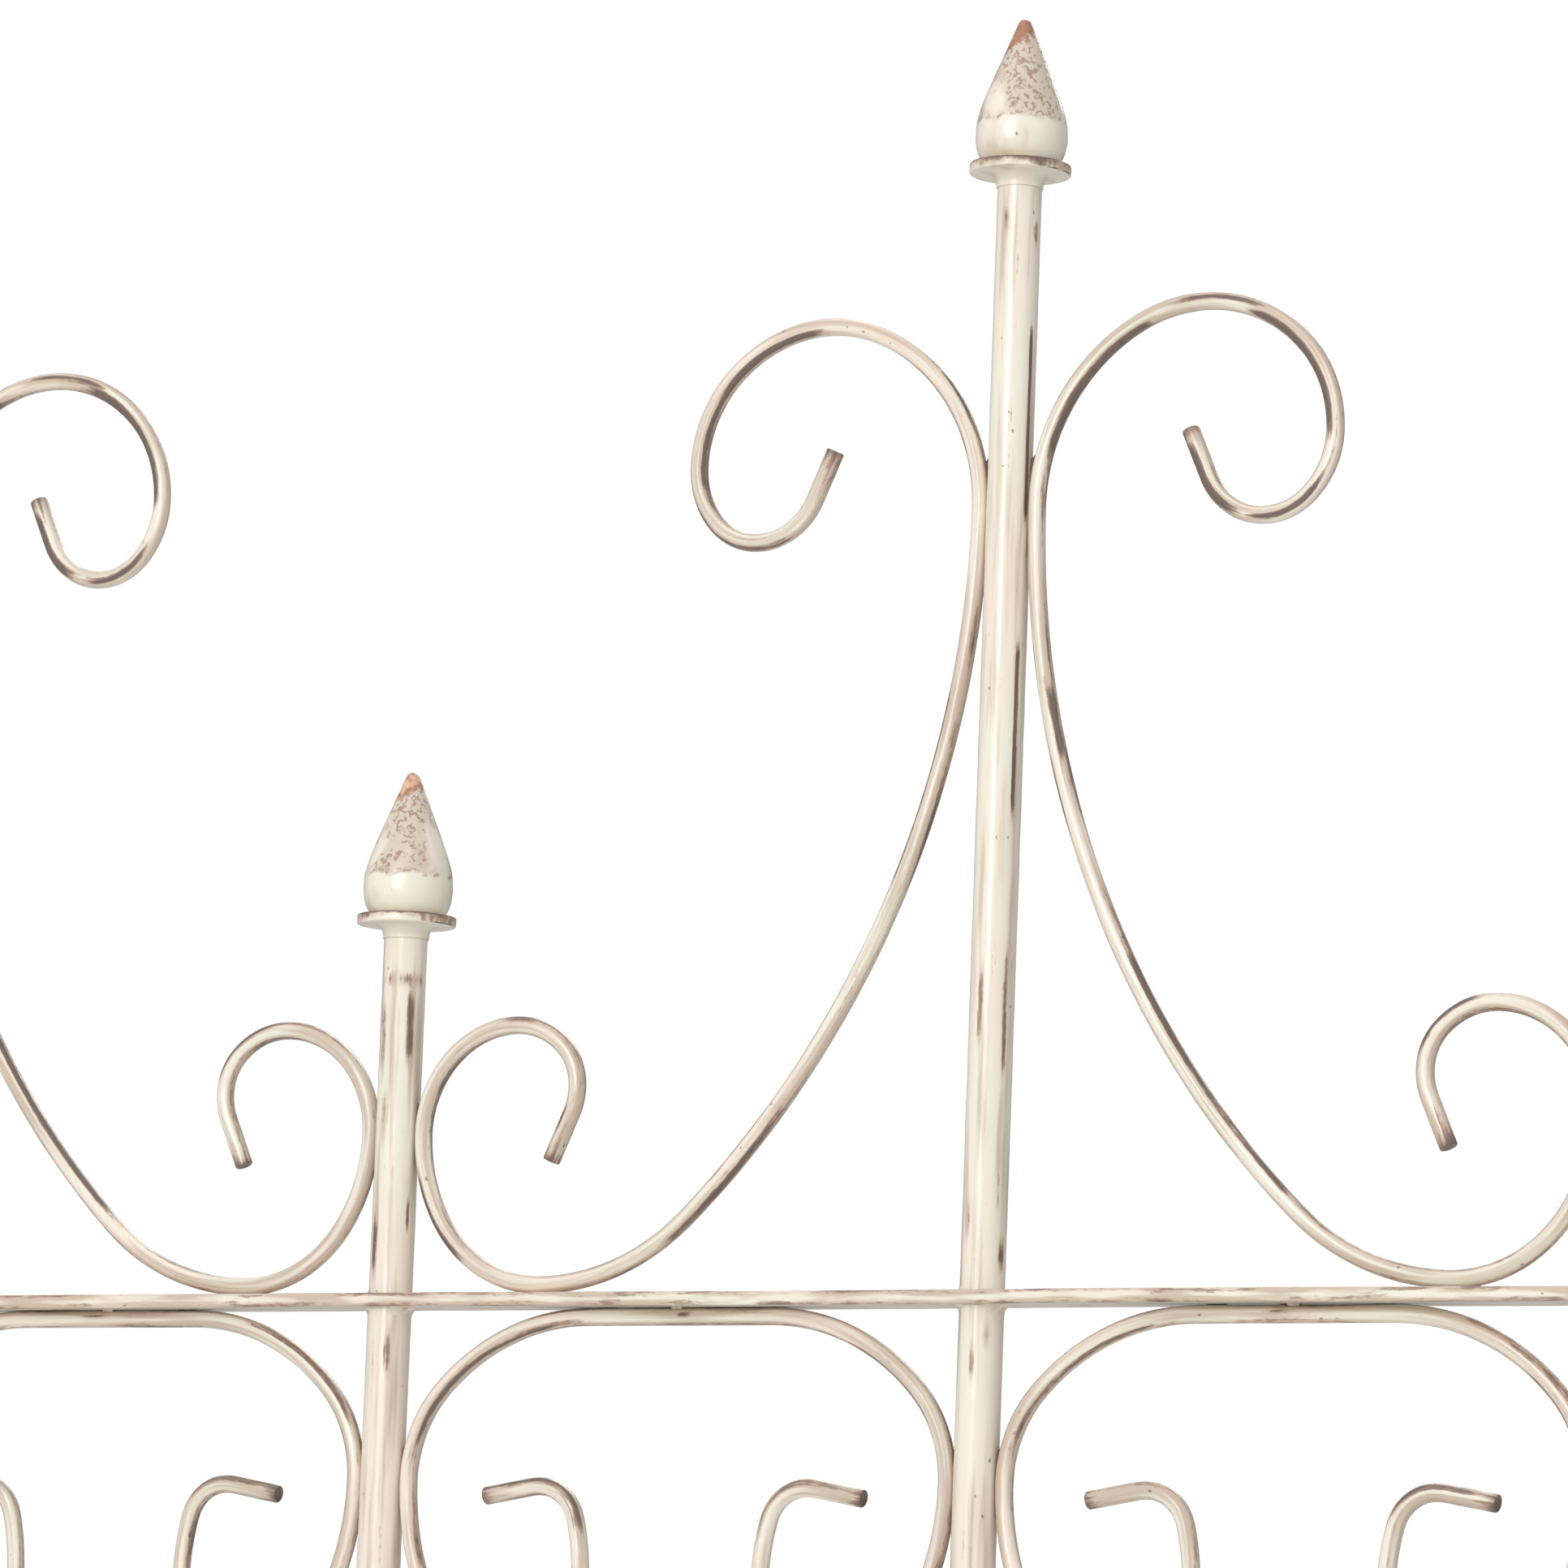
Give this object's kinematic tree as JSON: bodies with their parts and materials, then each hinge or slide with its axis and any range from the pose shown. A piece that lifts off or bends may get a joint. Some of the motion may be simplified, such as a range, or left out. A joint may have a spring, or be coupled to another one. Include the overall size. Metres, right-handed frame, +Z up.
{
  "type": "garden trellis panel",
  "caption": "Upright garden trellis panel of tube posts with pointed finials, flat-bar rails and bent-rod scrolls, on ground stakes.",
  "frame": {"origin": "on the ground line at the centre post's axis, at the root of its ground stake", "axes": "+X along the panel to the right, +Y to the back, +Z up; the front faces -Y"},
  "size_m": [1.0164, 0.0364, 1.611],
  "materials": {
    "tube_enamel": "glossy cream enamel with rubbed brown streaks",
    "rail_enamel": "glossy cream enamel with smudged brown wear on the edges",
    "rod_enamel": "glossy cream enamel, rubbed brown along the bends",
    "cast_enamel": "cream enamel on castings, speckled and pitted brown",
    "foot_enamel": "cream enamel, scuffed"
  },
  "bodies": {
    "root": {"post_left_end": "tube_enamel", "collar_left_end": "cast_enamel", "finial_left_end": "cast_enamel", "stake_left_end": "foot_enamel", "post_left_inner": "tube_enamel", "collar_left_inner": "cast_enamel", "finial_left_inner": "cast_enamel", "plug_left_inner": "foot_enamel", "post_centre": "tube_enamel", "collar_centre": "cast_enamel", "finial_centre": "cast_enamel", "stake_centre": "foot_enamel", "post_right_inner": "tube_enamel", "collar_right_inner": "cast_enamel", "finial_right_inner": "cast_enamel", "plug_right_inner": "foot_enamel", "post_right_end": "tube_enamel", "collar_right_end": "cast_enamel", "finial_right_end": "cast_enamel", "stake_right_end": "foot_enamel", "crest_rail": "rail_enamel", "upper_rail": "rail_enamel", "middle_rail": "rail_enamel", "lower_rail": "rail_enamel", "bottom_rail": "rail_enamel", "crest_scroll_far_left": "rod_enamel", "upper_scroll_far_left": "rod_enamel", "lower_scroll_far_left": "rod_enamel", "infill_rod_far_left": "rod_enamel", "crest_scroll_left": "rod_enamel", "upper_scroll_left": "rod_enamel", "lower_scroll_left": "rod_enamel", "infill_rod_left": "rod_enamel", "crest_scroll_right": "rod_enamel", "upper_scroll_right": "rod_enamel", "lower_scroll_right": "rod_enamel", "infill_rod_right": "rod_enamel", "crest_scroll_far_right": "rod_enamel", "upper_scroll_far_right": "rod_enamel", "lower_scroll_far_right": "rod_enamel", "infill_rod_far_right": "rod_enamel"}
  },
  "joints": []
}
